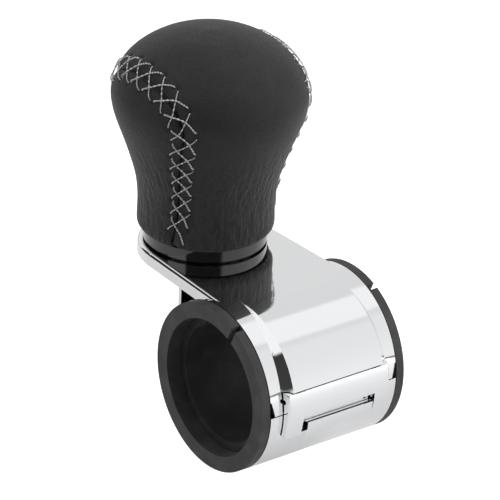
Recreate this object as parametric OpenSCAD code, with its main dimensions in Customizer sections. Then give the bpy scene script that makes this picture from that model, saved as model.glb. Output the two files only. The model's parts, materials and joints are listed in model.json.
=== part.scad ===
// Steering wheel spinner knob: a leather-wrapped knob on a post, on the arm of a hinged rim clamp.
// The origin is the middle of the clamp's bore. +Y is the clamp's axis, +Z is up along the knob's axis,
// the knob stands on the -X side and the latch is on the +X side.

/* [Clamp] */
// Diameter of the wheel rim that the clamp grips
rim_d = 33; // [30:0.5:36]
// Wall of the inner reducing sleeve
inner_sleeve_wall = 2.6; // [2:0.1:3.5]
// Wall of the outer sleeve
outer_sleeve_wall = 1.5; // [1:0.1:2.2]
// Wall of the cast half shells
shell_wall = 2.9; // [2.4:0.1:3.6]
// Length of the clamp over both rubber flanges
clamp_len = 47.6; // [44:0.2:54]
// Thickness of each rubber flange
flange_t = 2.5; // [1.5:0.1:3.5]
// Height of the rubber flanges over the outer sleeve
flange_lip = 2.9; // [2:0.1:3.5]
// How far the inner sleeve is set back at each end
inner_set_back = 4.4; // [2:0.1:7]
// Chamfer round the ends of the inner sleeve
inner_chamfer = 1.3; // [0.5:0.1:1.8]
// Width of the slit in the outer sleeve
slit_w = 1.7; // [1:0.1:3]
// Angle of that slit from the top, towards the latch
slit_angle = 24; // [15:1:40]
// Half the angle that the gap of the inner sleeve spans
inner_gap_half = 37; // [20:1:50]
// Angle of the middle of that gap from the top, towards the latch
inner_gap_angle = 8; // [0:1:20]
// Height of the split between the two half shells
split_z = 0.6; // [0:0.1:1]

/* [Arm] */
// Distance from the clamp's axis to the knob's axis
knob_offset = 35.5; // [34:0.1:38]
// Distance from the clamp's axis to the middle of the arm's round end
arm_end_x = 34.7; // [34:0.1:36]
// Thickness of the arm
arm_t = 3.8; // [3:0.1:5]
// Radius of the arm's round end
arm_end_r = 18.9; // [18:0.1:20]
// How far the arm's sides are set in from the clamp's ends above its axis
arm_root_in = 3.5; // [2.8:0.1:4.5]
// Radius of the arm's upper edge
arm_edge_r = 1.2; // [0.5:0.1:1.6]
// Distance from the clamp's axis to the outside of the wall under the arm
gusset_x = 21.2; // [18:0.1:21.4]
// Thickness of that wall
gusset_wall = 1.2; // [1:0.1:2]
// Distance from the clamp's axis to the inside of the ribs under the arm
gusset_in = 8; // [6:0.5:12]
// Thickness of the rib between the two pockets under the arm
rib_t = 4.2; // [2:0.1:6]

/* [Boss and latch] */
// Where the flat top ends and the boss starts to curve down
flat_end_x = 3; // [1:0.1:5]
// Radius of the boss and of the latch's outer face
bulge_r = 23; // [22:0.1:23.4]
// Half the length of the boss along its upper edge
boss_half = 15; // [13:0.1:16]
// Height of the latch pin over the clamp's axis
latch_pin_z = 4.4; // [4:0.1:4.6]
// Depth of the latch pin under the outer face
latch_pin_depth = 1.8; // [1.7:0.05:1.9]
// Radius of the latch pin
latch_pin_r = 0.6; // [0.5:0.05:0.7]
// Radius of the lugs that hold the latch pin
lug_r = 1.1; // [1:0.05:1.15]
// Width of each of those lugs
lug_w = 2.4; // [1.5:0.1:3]
// Place of the middle of each lug
lug_y = 12.6; // [8:0.1:13]
// Half the length of the latch
latch_half = 17; // [16:0.1:17.5]
// Top of the window in the latch
window_top = -0.4; // [-1:0.1:0]
// Bottom of the window in the latch
window_bottom = -5.2; // [-6:0.1:-4.6]
// Half the length of the window
window_half = 12; // [10:0.1:12.5]
// Height of the open slot at the top of the window
slot_h = 1.8; // [1.2:0.1:2.2]
// Half the length of the claw that hooks over the keeper
claw_half = 10.9; // [8:0.1:11]
// Lower end of the claw
claw_low = -9.2; // [-9.6:0.1:-8.8]
// How far the claw stands over the latch
claw_out = 0.8; // [0.3:0.1:1]
// Radius of the claw's outer face
claw_r = 10; // [8:0.5:14]
// Lower edge of the latch on its outer face
latch_bottom = -6.5; // [-7:0.1:-6]
// Bevel of the latch's lower edge
latch_bevel = 2; // [1:0.1:2.4]
// Corner cut of the latch
latch_corner = 2.4; // [1:0.1:4]
// How far the keeper stands over the lower shell at its tip
keeper_h = 1.25; // [0.8:0.05:1.5]
// Slope of the face between keeper and claw
keeper_slope = 65; // [62:1:70]

/* [Hinge] */
// Distance from the clamp's axis to the hinge pin
hinge_x = 24.2; // [23.8:0.1:24.6]
// Radius of the hinge pin
hinge_pin_r = 1.5; // [1:0.05:1.6]
// Radius of the hinge knuckles
knuckle_r = 3.2; // [2.8:0.05:3.3]
// Half the length of the hinge over its knuckles
hinge_half = 18.8; // [14:0.1:19.5]
// Half the length of the jaw's knuckle
barrel_half = 9; // [5:0.1:12]

/* [Knob] */
// Height of the knob over the arm
knob_h = 61.6; // [58:0.1:66]
// Largest radius of the knob's head
head_r = 26.8; // [25:0.1:29]
// Radius of the knob's neck
neck_r = 18.8; // [17.5:0.1:19.5]
// Thickness of the leather
leather_t = 1.6; // [1:0.1:2.2]
// Width of the gap at the leather's seam
seam_gap = 0.5; // [0.3:0.05:1]
// Outer radius of the black collar ring
ring_r = 17; // [16:0.1:18]
// Height of the collar ring
collar_h = 3.2; // [2.6:0.1:4]
// Gap between the arm and the collar ring
collar_lift = 0.6; // [0.5:0.05:1]
// Radius of the base ring's disc, which fills that gap
base_disc_r = 15.9; // [13:0.1:16.4]
// Wall of the base ring's hub round the post's flange
base_hub_wall = 1.5; // [1:0.1:2]
// Thickness of the plain thrust washer on the post's flange
thrust_t = 0.8; // [0.6:0.1:1]

/* [Stitches] */
// Width of the laced band
stitch_w = 6.6; // [5:0.1:8]
// Distance between two crosses along the seam
stitch_pitch = 4.5; // [4:0.1:6]
// Diameter of the thread
thread_d = 0.6; // [0.3:0.05:0.8]

/* [Post] */
// Radius of the post that the knob turns on
post_r = 4; // [3:0.05:4.5]
// Radius of the post's flange
post_flange_r = 9; // [7:0.1:10]
// Thickness of the post's flange
post_flange_t = 1.5; // [1:0.05:1.6]
// Thickness of the base ring's web under that flange
web_t = 1.2; // [0.8:0.1:1.3]
// Wall of the two plain bushes
bush_wall = 1.5; // [1:0.1:2]
// Length of the lower bush
lower_bush_l = 8; // [5:0.5:12]
// Length of the upper bush
upper_bush_l = 8; // [5:0.5:12]
// Depth of the top of the upper bush under the crown
upper_bush_depth = 19.6; // [18.6:0.1:23.6]
// Size of both nuts across their flats
nut_af = 13; // [10:0.5:13]
// Height of the nut under the arm
nut_h = 6.5; // [4:0.1:7]
// Height of the lock nut on the post's top
lock_nut_h = 8; // [5:0.1:8.5]
// Thickness of the washer under the arm
lock_washer_t = 1.6; // [1:0.1:2]
// Thickness of the washer over the upper bush
retaining_washer_t = 1.2; // [0.8:0.1:1.6]
// Radius of those two washers
washer_r = 7.8; // [7:0.1:8.5]

/* [Hidden] */

$fn = 96;
chrome = [0.86, 0.87, 0.89];
rubber = [0.2, 0.2, 0.21];
gloss_black = [0.04, 0.04, 0.05];
leather = [0.13, 0.13, 0.14];
thread_grey = [0.72, 0.72, 0.72];
steel = [0.6, 0.61, 0.63];
plastic = [0.3, 0.3, 0.32];

// Running clearance between a moving casting and its neighbour
run_clear = 0.3;
// Radial clearance of a pin or a bush that turns
pin_clear = 0.05;
// Clearance between the rubber sleeves and what holds them
sleeve_clear = 0.05;
// Overshoot of a cutter past the face that it cuts
cut = 1;

bore_r = rim_d / 2;
inner_sleeve_r = bore_r + inner_sleeve_wall;
outer_sleeve_in = inner_sleeve_r + sleeve_clear;
outer_sleeve_r = outer_sleeve_in + outer_sleeve_wall;
flange_r = outer_sleeve_r + flange_lip;
shell_in = outer_sleeve_r + sleeve_clear;
jaw_in = outer_sleeve_r + run_clear;
shell_r = shell_in + shell_wall;
shell_half = clamp_len / 2 - flange_t - run_clear;
inner_half = clamp_len / 2 - inner_set_back;
split_half = run_clear / 2;

// Boss and latch: both lie on one cylinder that is tangent to the flat top
bulge_c = [flat_end_x, shell_r - bulge_r];
pin_ring = bulge_r - latch_pin_depth;
bulge_bevel = 5;
latch_end_bevel = 0.5;
latch_pin_x = bulge_c[0] + sqrt(pow(pin_ring, 2) - pow(latch_pin_z - bulge_c[1], 2));
latch_eye_rise = 0.9;
latch_eye_r = latch_pin_depth + latch_eye_rise;
pocket_r = latch_eye_r + run_clear - pin_clear;
pocket_half = latch_half + run_clear;
boss_bottom = latch_pin_z + sqrt(pow(pocket_r, 2) - pow(latch_pin_depth, 2));
latch_in = shell_r + run_clear;
latch_reach = shell_r + 8;
keeper_x = sqrt(pow(shell_r, 2) - pow(window_top - slot_h, 2)) + keeper_h;
keeper_top = window_top - slot_h;
keeper_drop = 6;
lug_lean = 20;
lug_root = 1.8;
lug_clear = 0.2;
outer_low_x = bulge_c[0] + sqrt(pow(bulge_r, 2) - pow(latch_bottom - bulge_c[1], 2)) - latch_end_bevel;
claw_face_x = bulge_c[0] + sqrt(pow(bulge_r, 2) - pow(keeper_top - bulge_c[1], 2)) + claw_out;

// Arm: the straight edges leave the round end along its tangents
arm_root_half = clamp_len / 2 - arm_root_in;
root_dist = sqrt(pow(arm_end_x, 2) + pow(arm_root_half, 2));
tangent_angle = atan2(arm_root_half, arm_end_x) + acos(arm_end_r / root_dist);
tangent_x = -arm_end_x + arm_end_r * cos(tangent_angle);
tangent_y = arm_end_r * sin(tangent_angle);
edge_angle = tangent_angle - 90;
arm_bottom = shell_r - arm_t;
arm_sink = 0.5;
corner_in = 1.6;
corner_out = 0.3;
corner_z = split_z + 4.3;

// Heights over the arm's top
upper_bush_z = knob_h - upper_bush_depth;
seat_gap = 0.1;
base_disc_h = collar_lift - seat_gap;
thrust_z = web_t + post_flange_t;
bush_z = thrust_z + thrust_t + seat_gap;
leather_z = collar_lift + collar_h + seat_gap;
bush_r = post_r + pin_clear + bush_wall;
bush_flange_r = bush_r + 1.5;
bush_flange_t = 1.2;
hub_in = post_flange_r + run_clear;
collar_in = hub_in + base_hub_wall + run_clear;
cavity_r = washer_r + 1.2;
cap_ledge = 2;
retaining_z = upper_bush_z + seat_gap;
lock_nut_z = retaining_z + retaining_washer_t;
thread_end = 1.5;
post_top = lock_nut_z + lock_nut_h + thread_end;
post_low = -arm_t - lock_washer_t - nut_h - thread_end;
cavity_top = post_top + 1.2;

// Outline of the leather: height over the arm and radius, from the foot to the crown
OUTLINE = [
    [leather_z, ring_r + 0.4], [leather_z + 1.4, neck_r - 0.1], [8, neck_r], [13, neck_r],
    [0.30844 * knob_h, neck_r + 0.7], [0.40584 * knob_h, neck_r + 2.4], [0.50325 * knob_h, head_r - 3.5],
    [0.58442 * knob_h, head_r - 1.6], [0.64935 * knob_h, head_r - 0.4], [0.71429 * knob_h, head_r],
    [0.77922 * knob_h, head_r - 1.1], [0.84416 * knob_h, head_r - 3.5], [knob_h - 6.1, head_r - 7.3],
    [knob_h - 3.2, head_r - 12.2], [knob_h - 1, 8.2], [knob_h, 0]];

// Seam as seen along Y: distance before the knob's axis and height, as shares of head_r and knob_h
SEAM = [
    [0.332, 0.066], [0.377, 0.197], [0.425, 0.328], [0.5, 0.468], [0.567, 0.573], [0.612, 0.657],
    [0.604, 0.713], [0.541, 0.768], [0.425, 0.816], [0.287, 0.844], [0.138, 0.862], [-0.045, 0.869],
    [-0.235, 0.864], [-0.41, 0.842], [-0.604, 0.798], [-0.776, 0.739], [-0.895, 0.678], [-0.975, 0.634]];

// Point of a smooth curve through listed points, at u counted in points
function smooth_at(u, pts) = let (
        i = min(floor(u), len(pts) - 2),
        t = u - i,
        a = pts[max(i - 1, 0)],
        b = pts[i],
        c = pts[i + 1],
        d = pts[min(i + 2, len(pts) - 1)])
    0.5 * (2 * b + t * (c - a) + t * t * (2 * a - 5 * b + 4 * c - d) + t * t * t * (3 * b - a - 3 * c + d));

function smooth(pts, steps) = [for (k = [0 : steps * (len(pts) - 1)]) smooth_at(k / steps, pts)];

// Radius of the leather at height z, by halving the stretch of outline that holds it
function radius_at(z, lo = 0, hi = len(OUTLINE) - 1.1, n = 14) =
    n == 0 ? smooth_at((lo + hi) / 2, OUTLINE)[1] :
    smooth_at((lo + hi) / 2, OUTLINE)[0] < z ? radius_at(z, (lo + hi) / 2, hi, n - 1) :
    radius_at(z, lo, (lo + hi) / 2, n - 1);

function unit(v) = v / norm(v);

outline_steps = 3;
seam_steps = 2;
skin = smooth(OUTLINE, outline_steps);
seam_line = [for (p = smooth(SEAM, seam_steps)) [p[0] * head_r, p[1] * knob_h]];
seam_back_z = seam_line[len(seam_line) - 1][1];

// Point k of the outline, moved in from the leather's outside
function skin_in(k, inset) = let (
        p = skin[k],
        t = unit(skin[min(k + 1, len(skin) - 1)] - skin[max(k - 1, 0)]))
    [max(p[1] - inset * t[0], 0), min(max(p[0] + inset * t[1], leather_z), knob_h - inset)];

// A solid along Y from a shape drawn in the XZ plane
module along_y(y0, y1) {
    translate([0, y1, 0]) rotate([90, 0, 0]) linear_extrude(y1 - y0) children();
}

// A round bar along Y
module bar_y(r, half, x = 0, z = 0, r2 = 0) {
    translate([x, 0, z]) rotate([90, 0, 0])
        cylinder(r1 = r, r2 = r2 > 0 ? r2 : r, h = 2 * half, center = true);
}

// Lifts children to the arm's top, on the knob's axis
module on_arm() {
    translate([-knob_offset, 0, shell_r]) children();
}

module ring(r_out, r_in, h) {
    difference() {
        cylinder(r = r_out, h = h);
        translate([0, 0, -cut]) cylinder(r = r_in, h = h + 2 * cut);
    }
}

module half_shell(r_in, side) {
    size = 2 * (shell_r + cut);
    difference() {
        bar_y(shell_r, shell_half);
        bar_y(r_in, shell_half + cut);
        translate([-size / 2, -size, side > 0 ? split_z + split_half - size : split_z - split_half])
            cube([size, 2 * size, size]);
    }
}

// The cylinder that the boss and the latch share, bevelled at 45 degrees at its ends
module bulge(half, bevel) {
    bar_y(bulge_r, half, bulge_c[0], bulge_c[1]);
    for (side = [-1, 1])
        translate([bulge_c[0], side * half, bulge_c[1]]) rotate([-side * 90, 0, 0])
            cylinder(r1 = bulge_r, r2 = bulge_r - bevel, h = bevel);
}

module arm_outline() {
    translate([-arm_end_x, 0]) circle(r = arm_end_r);
    polygon([[tangent_x, -tangent_y], [0, -arm_root_half], [0, -boss_half], [flat_end_x, -boss_half],
        [flat_end_x, boss_half], [0, boss_half], [0, arm_root_half], [tangent_x, tangent_y]]);
}

module arm_edge_cutters() {
    edge_z = shell_r - arm_edge_r;
    intersection() {
        translate([-arm_end_x, 0, shell_r]) rotate_extrude() difference() {
            translate([arm_end_r - arm_edge_r, -arm_edge_r]) square(arm_edge_r + cut);
            translate([arm_end_r - arm_edge_r, -arm_edge_r]) circle(r = arm_edge_r);
        }
        translate([tangent_x - 2 * arm_end_r, -2 * arm_end_r, 0])
            cube([2 * arm_end_r, 4 * arm_end_r, 2 * shell_r]);
    }
    for (side = [-1, 1])
        mirror([0, side < 0 ? 1 : 0, 0]) translate([tangent_x, tangent_y, edge_z])
            rotate([0, 0, edge_angle]) difference() {
                translate([0, -arm_edge_r, 0]) cube([arm_end_x + cut, arm_edge_r + cut, arm_edge_r + cut]);
                translate([-cut, -arm_edge_r, 0]) rotate([0, 90, 0])
                    cylinder(r = arm_edge_r, h = arm_end_x + 3 * cut);
            }
}

module arm() {
    difference() {
        translate([0, 0, arm_bottom]) linear_extrude(arm_t) arm_outline();
        arm_edge_cutters();
    }
}

// Wall under the arm, with a pocket on each side of its middle rib
module gusset() {
    foot_r = (shell_in + shell_r) / 2;
    half = arm_root_half - arm_edge_r;
    difference() {
        along_y(-half, half) polygon([[-gusset_x, sqrt(pow(foot_r, 2) - pow(gusset_x, 2))],
            [-gusset_x, arm_bottom + arm_sink], [-gusset_in, arm_bottom + arm_sink],
            [-gusset_in, sqrt(pow(foot_r, 2) - pow(gusset_in, 2))]]);
        for (side = [-1, 1])
            translate([-gusset_x + gusset_wall, side > 0 ? rib_t / 2 : -rib_t / 2 - half, 0])
                cube([gusset_x, half, arm_bottom]);
    }
}

module at_lugs() {
    for (side = [-1, 1])
        translate([latch_pin_x, side * lug_y, latch_pin_z]) children();
}

// Lugs that carry the latch pin, hidden behind the latch's outer face
module lugs() {
    at_lugs() {
        bar_y(lug_r, lug_w / 2);
        rotate([0, 180 - lug_lean, 0]) translate([0, -lug_w / 2, -lug_root / 2])
            cube([latch_eye_r + cut, lug_w, lug_root]);
    }
}

// Room in the latch for a lug over the whole swing
module lug_notch() {
    at_lugs() {
        bar_y(lug_r + lug_clear, lug_w / 2 + run_clear);
        translate([-2 * latch_eye_r, -lug_w / 2 - run_clear, 0])
            cube([2 * latch_eye_r + lug_r + lug_clear, lug_w + 2 * run_clear, 2 * latch_eye_r]);
        translate([-2 * latch_eye_r, -lug_w / 2 - run_clear, -latch_eye_r - run_clear])
            cube([2 * latch_eye_r, lug_w + 2 * run_clear, 2 * latch_eye_r]);
    }
}

module boss() {
    difference() {
        intersection() {
            bulge(boss_half, bulge_bevel);
            translate([flat_end_x - cut, -shell_half, boss_bottom])
                cube([latch_reach, 2 * shell_half, shell_r]);
        }
        bar_y(pocket_r, shell_half, latch_pin_x, latch_pin_z);
    }
    lugs();
}

module bracket_knuckles() {
    for (side = [-1, 1])
        translate([0, side * (hinge_half + barrel_half + run_clear) / 2, 0])
            bar_y(knuckle_r, (hinge_half - barrel_half - run_clear) / 2, -hinge_x, split_z);
}

module upper_bracket() {
    color(chrome) difference() {
        union() {
            difference() {
                half_shell(shell_in, 1);
                bar_y(pocket_r, pocket_half, latch_pin_x, latch_pin_z);
            }
            arm();
            gusset();
            boss();
            bracket_knuckles();
        }
        bar_y(shell_in, clamp_len);
        bar_y(knuckle_r + run_clear, barrel_half + run_clear, -hinge_x, split_z);
        bar_y(hinge_pin_r, hinge_half + cut, -hinge_x, split_z);
        bar_y(latch_pin_r, lug_y + lug_w / 2, latch_pin_x, latch_pin_z);
        translate([-knob_offset, 0, arm_bottom - cut])
            cylinder(r = post_r + pin_clear, h = arm_t + 2 * cut);
        for (side = [-1, 1])
            mirror([0, side < 0 ? 1 : 0, 0]) translate([shell_in - cut, 0, 0]) rotate([90, 0, 90])
                linear_extrude(shell_wall + 2 * cut) polygon([
                    [shell_half - corner_in, split_z - cut], [shell_half + cut, split_z - cut],
                    [shell_half + cut, corner_z], [shell_half - corner_out, corner_z]]);
    }
}

// Face between keeper and claw, moved out by a gap
function slope_x(z, gap = 0) = keeper_x + (z - keeper_top) / tan(keeper_slope) + gap / sin(keeper_slope);

module lower_jaw() {
    keeper_low = keeper_top - keeper_drop;
    color(chrome) difference() {
        union() {
            half_shell(jaw_in, -1);
            bar_y(knuckle_r, barrel_half, -hinge_x, split_z);
            along_y(-claw_half + run_clear, claw_half - run_clear) polygon([[jaw_in + 1, keeper_top],
                [keeper_x, keeper_top], [slope_x(keeper_low), keeper_low], [jaw_in - 1, keeper_low]]);
        }
        bar_y(jaw_in, clamp_len);
        bar_y(hinge_pin_r + pin_clear, hinge_half + cut, -hinge_x, split_z);
        for (side = [-1, 1])
            translate([0, side * (hinge_half + barrel_half + run_clear) / 2, 0])
                bar_y(knuckle_r + run_clear, (hinge_half - barrel_half + run_clear) / 2, -hinge_x, split_z);
    }
}

// Room inside the latch for the shells, but for the latch's eyes
module shell_room() {
    difference() {
        bar_y(latch_in, shell_half);
        bar_y(latch_eye_r, shell_half + cut, latch_pin_x, latch_pin_z);
    }
}

// Plate of the latch with its window
module latch_plate() {
    low = latch_bottom - latch_bevel;
    difference() {
        intersection() {
            bulge(latch_half - latch_end_bevel, latch_end_bevel);
            union() {
                along_y(-latch_half, latch_half) polygon([
                    [shell_in, latch_pin_z], [latch_reach, latch_pin_z],
                    [latch_reach, latch_bottom], [outer_low_x, latch_bottom],
                    [outer_low_x - latch_bevel, low], [shell_in - latch_bevel, low]]);
                bar_y(latch_eye_r, latch_half, latch_pin_x, latch_pin_z);
            }
        }
        translate([0, -window_half, window_bottom])
            cube([latch_reach, 2 * window_half, window_top - window_bottom]);
        translate([0, -claw_half, low - cut])
            cube([latch_reach, 2 * claw_half, window_top - low + cut]);
        for (side = [-1, 1])
            translate([0, side * latch_half, low]) rotate([45, 0, 0])
                cube([3 * shell_r, latch_corner * sqrt(2), latch_corner * sqrt(2)], center = true);
    }
}

// Everything outside the face between keeper and claw, from one height down to another
module claw_slab(half, top, low) {
    along_y(-half, half) polygon([[slope_x(top, run_clear), top], [latch_reach, top],
        [latch_reach, low], [slope_x(low, run_clear), low]]);
}

// Claw that hooks over the keeper, joined to the plate at both ends of its lower bar
module claw() {
    intersection() {
        claw_slab(claw_half, keeper_top, claw_low);
        bar_y(claw_r, claw_half + cut, claw_face_x - claw_r, keeper_top);
    }
    intersection() {
        claw_slab(claw_half + cut, window_bottom, latch_bottom);
        bulge(claw_half + cut, cut);
    }
}

module latch_loop() {
    color(chrome) difference() {
        union() {
            latch_plate();
            claw();
        }
        shell_room();
        lug_notch();
        bar_y(latch_pin_r + pin_clear, shell_half, latch_pin_x, latch_pin_z);
    }
}

module outer_sleeve() {
    half = clamp_len / 2;
    color(rubber) difference() {
        union() {
            bar_y(outer_sleeve_r, half);
            for (side = [-1, 1])
                translate([0, side * (half - flange_t / 2), 0]) bar_y(flange_r, flange_t / 2);
        }
        bar_y(outer_sleeve_in, half + cut);
        rotate([0, slit_angle, 0]) translate([-slit_w / 2, -half - cut, 0])
            cube([slit_w, clamp_len + 2 * cut, flange_r + cut]);
    }
}

module inner_sleeve() {
    far = 2 * inner_sleeve_r;
    color(rubber) difference() {
        bar_y(inner_sleeve_r, inner_half);
        bar_y(bore_r, inner_half + cut);
        for (side = [-1, 1])
            translate([0, side * (inner_half - inner_chamfer / 2), 0]) difference() {
                bar_y(inner_sleeve_r + cut, inner_chamfer / 2 + 0.01);
                bar_y(side > 0 ? inner_sleeve_r : inner_sleeve_r - inner_chamfer, inner_chamfer / 2 + 0.02,
                    r2 = side > 0 ? inner_sleeve_r - inner_chamfer : inner_sleeve_r);
            }
        along_y(-clamp_len, clamp_len) polygon([[0, 0],
            for (k = [-1 : 0.5 : 1])
                far * [sin(inner_gap_angle + k * inner_gap_half),
                    cos(inner_gap_angle + k * inner_gap_half)]]);
    }
}

module hinge_pin() {
    color(steel) bar_y(hinge_pin_r, hinge_half, -hinge_x, split_z);
}

module latch_pin() {
    color(steel) bar_y(latch_pin_r, lug_y + lug_w / 2, latch_pin_x, latch_pin_z);
}

// Black disc in the gap under the collar ring, with a hub round the post's flange
module base_ring() {
    color(gloss_black) on_arm() difference() {
        union() {
            cylinder(r = base_disc_r, h = base_disc_h);
            cylinder(r = hub_in + base_hub_wall, h = thrust_z);
        }
        translate([0, 0, -cut]) cylinder(r = post_r + pin_clear, h = thrust_z + 2 * cut);
        translate([0, 0, web_t]) cylinder(r = hub_in, h = thrust_z);
    }
}

module thrust_washer() {
    color(plastic) on_arm() translate([0, 0, thrust_z])
        ring(bush_flange_r + seat_gap, post_r + pin_clear, thrust_t);
}

module collar_ring() {
    color(gloss_black) on_arm() translate([0, 0, collar_lift]) ring(ring_r, collar_in, collar_h);
}

// Solid of revolution under the leather's outside, set in by an inset
module skin_solid(inset) {
    rotate_extrude() polygon(concat([[0, leather_z]], [for (k = [0 : len(skin) - 1]) skin_in(k, inset)]));
}

module leather_shell() {
    difference() {
        skin_solid(0);
        skin_solid(leather_t);
        translate([0, 0, leather_z - cut]) cylinder(r = skin_in(0, leather_t)[0], h = 2 * cut);
    }
}

// The seam's line moved sideways, seen along Y
function seam_edge(shift) = [for (k = [0 : len(seam_line) - 1]) let (
        t = unit(seam_line[min(k + 1, len(seam_line) - 1)] - seam_line[max(k - 1, 0)]))
    seam_line[k] + shift * [t[1], -t[0]]];

// Everything on the crown's side of the seam, or on the other side, seen along Y
module seam_side(front) {
    far = 2 * head_r;
    edge = seam_edge(front ? seam_gap / 2 : -seam_gap / 2);
    last = edge[len(edge) - 1];
    ends = [[edge[0][0], 0], [-far, last[1]]];
    along_y(-far, far) polygon(front ?
        concat([ends[0]], edge, [ends[1], [-far, knob_h + far], [far, knob_h + far], [far, 0]]) :
        concat([ends[0]], edge, [ends[1], [-far, 0]]));
}

module leather_front_panel() {
    color(leather) on_arm() intersection() {
        leather_shell();
        seam_side(true);
    }
}

module leather_back_panel() {
    color(leather) on_arm() intersection() {
        leather_shell();
        seam_side(false);
    }
}

// The seam on the leather: one side of it from the foot to the back, as points in space
seam_side_pts = [for (p = seam_line) if (radius_at(p[1]) > abs(p[0]) + seam_gap)
    [p[0], -sqrt(pow(radius_at(p[1]), 2) - pow(p[0], 2)), p[1]]];
seam_back_pt = [-radius_at(seam_back_z), 0, seam_back_z];
seam_pts = concat(seam_side_pts, [seam_back_pt], [for (k = [len(seam_side_pts) - 1 : -1 : 0])
    [seam_side_pts[k][0], -seam_side_pts[k][1], seam_side_pts[k][2]]]);
seam_len = [for (k = 0, s = 0; k < len(seam_pts); s = k + 1 < len(seam_pts) ?
    s + norm(seam_pts[k + 1] - seam_pts[k]) : s, k = k + 1) s];
seam_total = seam_len[len(seam_len) - 1];

// Point on the seam at a length s along it
function seam_at(s, k = 0) = k >= len(seam_pts) - 2 || seam_len[k + 1] >= s ?
    seam_pts[k] + (seam_pts[k + 1] - seam_pts[k]) * (s - seam_len[k]) / (seam_len[k + 1] - seam_len[k]) :
    seam_at(s, k + 1);

// Outward normal of the leather at a point near it
function leather_normal(p) = let (
        slope = radius_at(p[2] + 0.5) - radius_at(p[2] - 0.5),
        flat = unit([p[0], p[1]]))
    unit([flat[0], flat[1], -slope]);

// Point on the leather at length s along the seam and w across it, lifted off it
function on_leather(s, w, lift) = let (
        p = seam_at(s),
        along = unit(seam_at(s + 0.5) - seam_at(s - 0.5)),
        q = p + w * unit(cross(leather_normal(p), along)),
        r = radius_at(q[2]),
        flat = r * unit([q[0], q[1]]),
        on = [flat[0], flat[1], q[2]])
    on + lift * leather_normal(on);

thread_sides = 4;
lead_in = 0.4;
cross_run = 1.2 * stitch_pitch;
cross_shift = 0.35 * stitch_pitch;

// One laced strand from a needle hole to the other side of the seam
module strand(s0, w0, s1, w1) {
    lifts = [-0.4, 0.35, 0.35, -0.4] * thread_d;
    path = [for (k = [0 : 3]) on_leather(s0 + (s1 - s0) * k / 3, w0 + (w1 - w0) * k / 3, lifts[k])];
    rings = [for (k = [0 : 3]) let (
            t = unit(path[min(k + 1, 3)] - path[max(k - 1, 0)]),
            n = leather_normal(path[k]),
            b = unit(cross(t, n)),
            m = cross(b, t))
        for (j = [0 : thread_sides - 1])
            path[k] + thread_d / 2 * (cos(j * 360 / thread_sides) * m + sin(j * 360 / thread_sides) * b)];
    faces = concat([[for (j = [0 : thread_sides - 1]) j]],
        [for (k = [0 : 2], j = [0 : thread_sides - 1]) let (
                a = k * thread_sides + j,
                c = k * thread_sides + (j + 1) % thread_sides)
            [a, a + thread_sides, c + thread_sides, c]],
        [[for (j = [thread_sides - 1 : -1 : 0]) 3 * thread_sides + j]]);
    polyhedron(rings, faces);
}

module seam_thread() {
    count = floor((seam_total - 2 * stitch_pitch) / stitch_pitch);
    color(thread_grey) on_arm()
        for (k = [0 : count - 1]) {
            s = (k + lead_in) * stitch_pitch;
            strand(s, stitch_w / 2, s + cross_run, -stitch_w / 2);
            strand(s + cross_shift, -stitch_w / 2, s + cross_shift + cross_run, stitch_w / 2);
        }
}

module knob_core() {
    color(plastic) on_arm() difference() {
        union() {
            skin_solid(leather_t + pin_clear);
            translate([0, 0, bush_z]) cylinder(r = collar_in - pin_clear, h = leather_z - bush_z + cut);
        }
        translate([0, 0, bush_z - cut]) cylinder(r = bush_r, h = knob_h);
        translate([0, 0, bush_z - cut]) cylinder(r = bush_flange_r, h = bush_flange_t + cut);
        translate([0, 0, upper_bush_z - bush_flange_t]) cylinder(r = cavity_r, h = knob_h);
        translate([0, 0, cavity_top]) cylinder(r = cavity_r + cap_ledge, h = knob_h);
    }
}

module core_cap() {
    color(plastic) on_arm() intersection() {
        translate([0, 0, cavity_top]) cylinder(r = cavity_r + cap_ledge - pin_clear, h = knob_h);
        skin_solid(leather_t + pin_clear);
    }
}

module spindle() {
    color(steel) on_arm() {
        translate([0, 0, post_low]) cylinder(r = post_r, h = post_top - post_low);
        translate([0, 0, web_t]) cylinder(r = post_flange_r, h = post_flange_t);
    }
}

module hex_nut(h) {
    difference() {
        cylinder(r = nut_af / 2 / cos(30), h = h, $fn = 6);
        translate([0, 0, -cut]) cylinder(r = post_r, h = h + 2 * cut);
    }
}

module spindle_nut() {
    color(steel) on_arm() translate([0, 0, -arm_t - lock_washer_t - nut_h]) hex_nut(nut_h);
}

module lock_washer() {
    color(steel) on_arm() translate([0, 0, -arm_t - lock_washer_t])
        ring(washer_r, post_r + pin_clear, lock_washer_t);
}

// A flanged bush, its flange at its lower end
module bush(l) {
    difference() {
        union() {
            cylinder(r = bush_r, h = l);
            cylinder(r = bush_flange_r, h = bush_flange_t);
        }
        translate([0, 0, -cut]) cylinder(r = post_r + pin_clear, h = l + 2 * cut);
    }
}

module lower_bush() {
    color(plastic) on_arm() translate([0, 0, bush_z]) bush(lower_bush_l);
}

module upper_bush() {
    color(plastic) on_arm() translate([0, 0, upper_bush_z]) mirror([0, 0, 1]) bush(upper_bush_l);
}

module retaining_washer() {
    color(steel) on_arm() translate([0, 0, retaining_z])
        ring(washer_r, post_r + pin_clear, retaining_washer_t);
}

module lock_nut() {
    color(steel) on_arm() translate([0, 0, lock_nut_z]) hex_nut(lock_nut_h);
}

upper_bracket();
lower_jaw();
latch_loop();
outer_sleeve();
inner_sleeve();
hinge_pin();
latch_pin();
base_ring();
thrust_washer();
collar_ring();
leather_front_panel();
leather_back_panel();
seam_thread();
knob_core();
core_cap();
spindle();
spindle_nut();
lock_washer();
lower_bush();
upper_bush();
retaining_washer();
lock_nut();
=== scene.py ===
"""Steering wheel spinner knob: finishes, leather wrap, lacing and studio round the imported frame."""
from __future__ import annotations

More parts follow.
